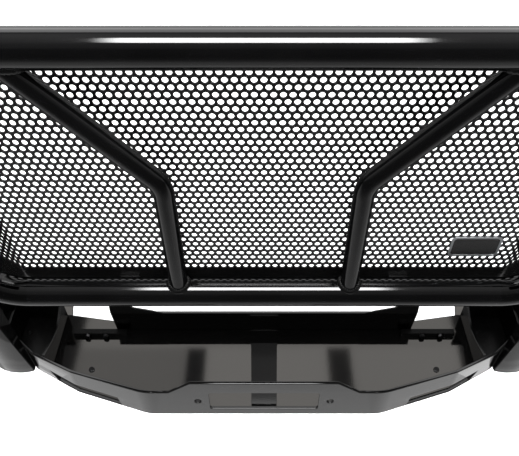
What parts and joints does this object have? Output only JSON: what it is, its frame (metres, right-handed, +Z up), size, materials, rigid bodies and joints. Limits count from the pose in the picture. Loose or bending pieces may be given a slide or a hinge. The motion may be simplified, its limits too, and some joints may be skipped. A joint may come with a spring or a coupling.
{
  "type": "front grille guard",
  "caption": "Front grille guard for a pickup truck: round tube ring with inner braces over a folded perforated screen, on uprights and a plate winch tray with a fairlead slot.",
  "frame": {"origin": "on the ground plane under the middle of the whole guard's box", "axes": "+X to the right seen from the front, +Y towards the vehicle, +Z up"},
  "size_m": [1.7076, 0.3118, 0.7634],
  "materials": {
    "gloss_black_tube": "gloss black powder coat on steel tube",
    "gloss_black_plate": "gloss black powder coat on steel plate",
    "screen_black": "gloss black powder coat on punched steel sheet",
    "satin_black": "satin black paint",
    "black_zinc": "black zinc plated fasteners",
    "badge_metal": "satin metal rim round a plain dark field"
  },
  "bodies": {
    "root": {"frame_top_tube": "gloss_black_tube", "frame_bottom_tube": "gloss_black_tube", "frame_side_tube_right": "gloss_black_tube", "frame_side_tube_left": "gloss_black_tube", "brace_right": "gloss_black_tube", "brace_left": "gloss_black_tube", "hoop_upper_tube_right": "gloss_black_tube", "hoop_upper_tube_left": "gloss_black_tube", "hoop_lower_tube_right": "gloss_black_tube", "hoop_lower_tube_left": "gloss_black_tube", "hoop_outer_tube_right": "gloss_black_tube", "hoop_outer_tube_left": "gloss_black_tube", "hoop_brace_right": "gloss_black_tube", "hoop_brace_left": "gloss_black_tube", "tray_front_plate": "gloss_black_plate", "tray_deck": "gloss_black_plate", "tray_cross_plate": "gloss_black_plate", "tray_centre_strap": "gloss_black_plate", "tray_end_wall_right": "gloss_black_plate", "tray_end_wall_left": "gloss_black_plate", "tray_outer_wall_right": "gloss_black_plate", "tray_outer_wall_left": "gloss_black_plate", "upright_right": "gloss_black_plate", "upright_left": "gloss_black_plate", "upright_nose_right": "gloss_black_plate", "upright_nose_left": "gloss_black_plate", "frame_arm_right": "gloss_black_plate", "frame_arm_left": "gloss_black_plate", "frame_bracket_right": "gloss_black_plate", "frame_bracket_left": "gloss_black_plate", "cross_ear_right": "gloss_black_plate", "cross_ear_left": "gloss_black_plate", "tray_pocket_back_right": "gloss_black_plate", "tray_pocket_back_left": "gloss_black_plate", "hoop_upper_flange_right": "gloss_black_plate", "hoop_upper_flange_left": "gloss_black_plate", "hoop_lower_flange_right": "gloss_black_plate", "hoop_lower_flange_left": "gloss_black_plate", "grille_screen": "screen_black", "tray_pocket_floor_right": "satin_black", "tray_pocket_floor_left": "satin_black", "clamp_bar_right": "satin_black", "clamp_bar_left": "satin_black", "screen_tab_bottom_right": "satin_black", "screen_tab_bottom_left": "satin_black", "screen_tab_top_right": "satin_black", "screen_tab_top_left": "satin_black", "clamp_bolt_1_right": "black_zinc", "clamp_bolt_1_left": "black_zinc", "clamp_bolt_2_right": "black_zinc", "clamp_bolt_2_left": "black_zinc", "deck_bolt_right": "black_zinc", "deck_bolt_left": "black_zinc", "upright_bolt_1_right": "black_zinc", "upright_bolt_1_left": "black_zinc", "upright_bolt_2_right": "black_zinc", "upright_bolt_2_left": "black_zinc", "badge_plate": "badge_metal"}
  },
  "joints": []
}
